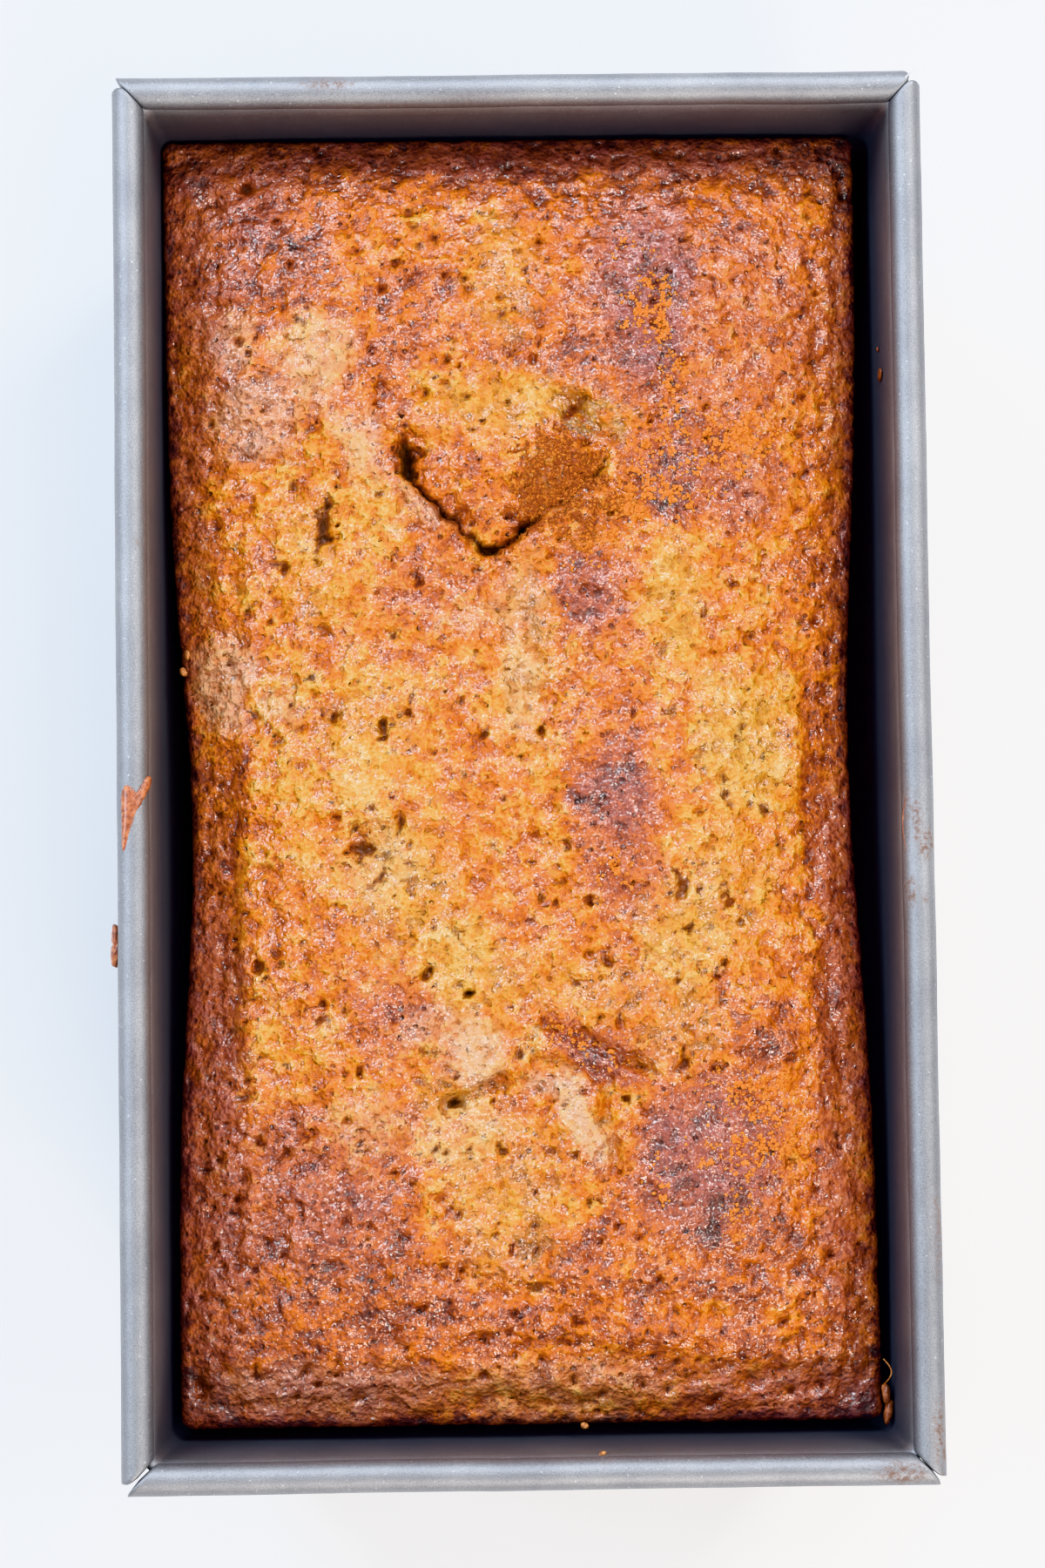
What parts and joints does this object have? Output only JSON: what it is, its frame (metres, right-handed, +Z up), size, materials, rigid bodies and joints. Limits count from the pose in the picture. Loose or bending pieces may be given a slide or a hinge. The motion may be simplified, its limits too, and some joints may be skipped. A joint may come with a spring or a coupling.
{
  "type": "banana bread in its loaf pan",
  "caption": "Home-baked banana bread with a cracked, unevenly browned crust, in the folded steel loaf pan with rolled rim that it was baked in.",
  "frame": {"origin": "under the middle of the pan, on the surface that the pan stands on", "axes": "+Z up out of the pan, +Y along the pan towards the end with the crack in the crust, +X across the pan"},
  "size_m": [0.138, 0.2396, 0.07],
  "materials": {
    "loaf_pan": "satin grey coated steel with a fine grain, darker baked-on film inside, a few brown stains and batter drips",
    "banana_bread": "moist baked crust, golden to red-brown with dark edges, fine pores, small wet glints and patches of cinnamon dust"
  },
  "bodies": {
    "root": {"loaf_pan": "loaf_pan", "banana_bread": "banana_bread"}
  },
  "joints": []
}
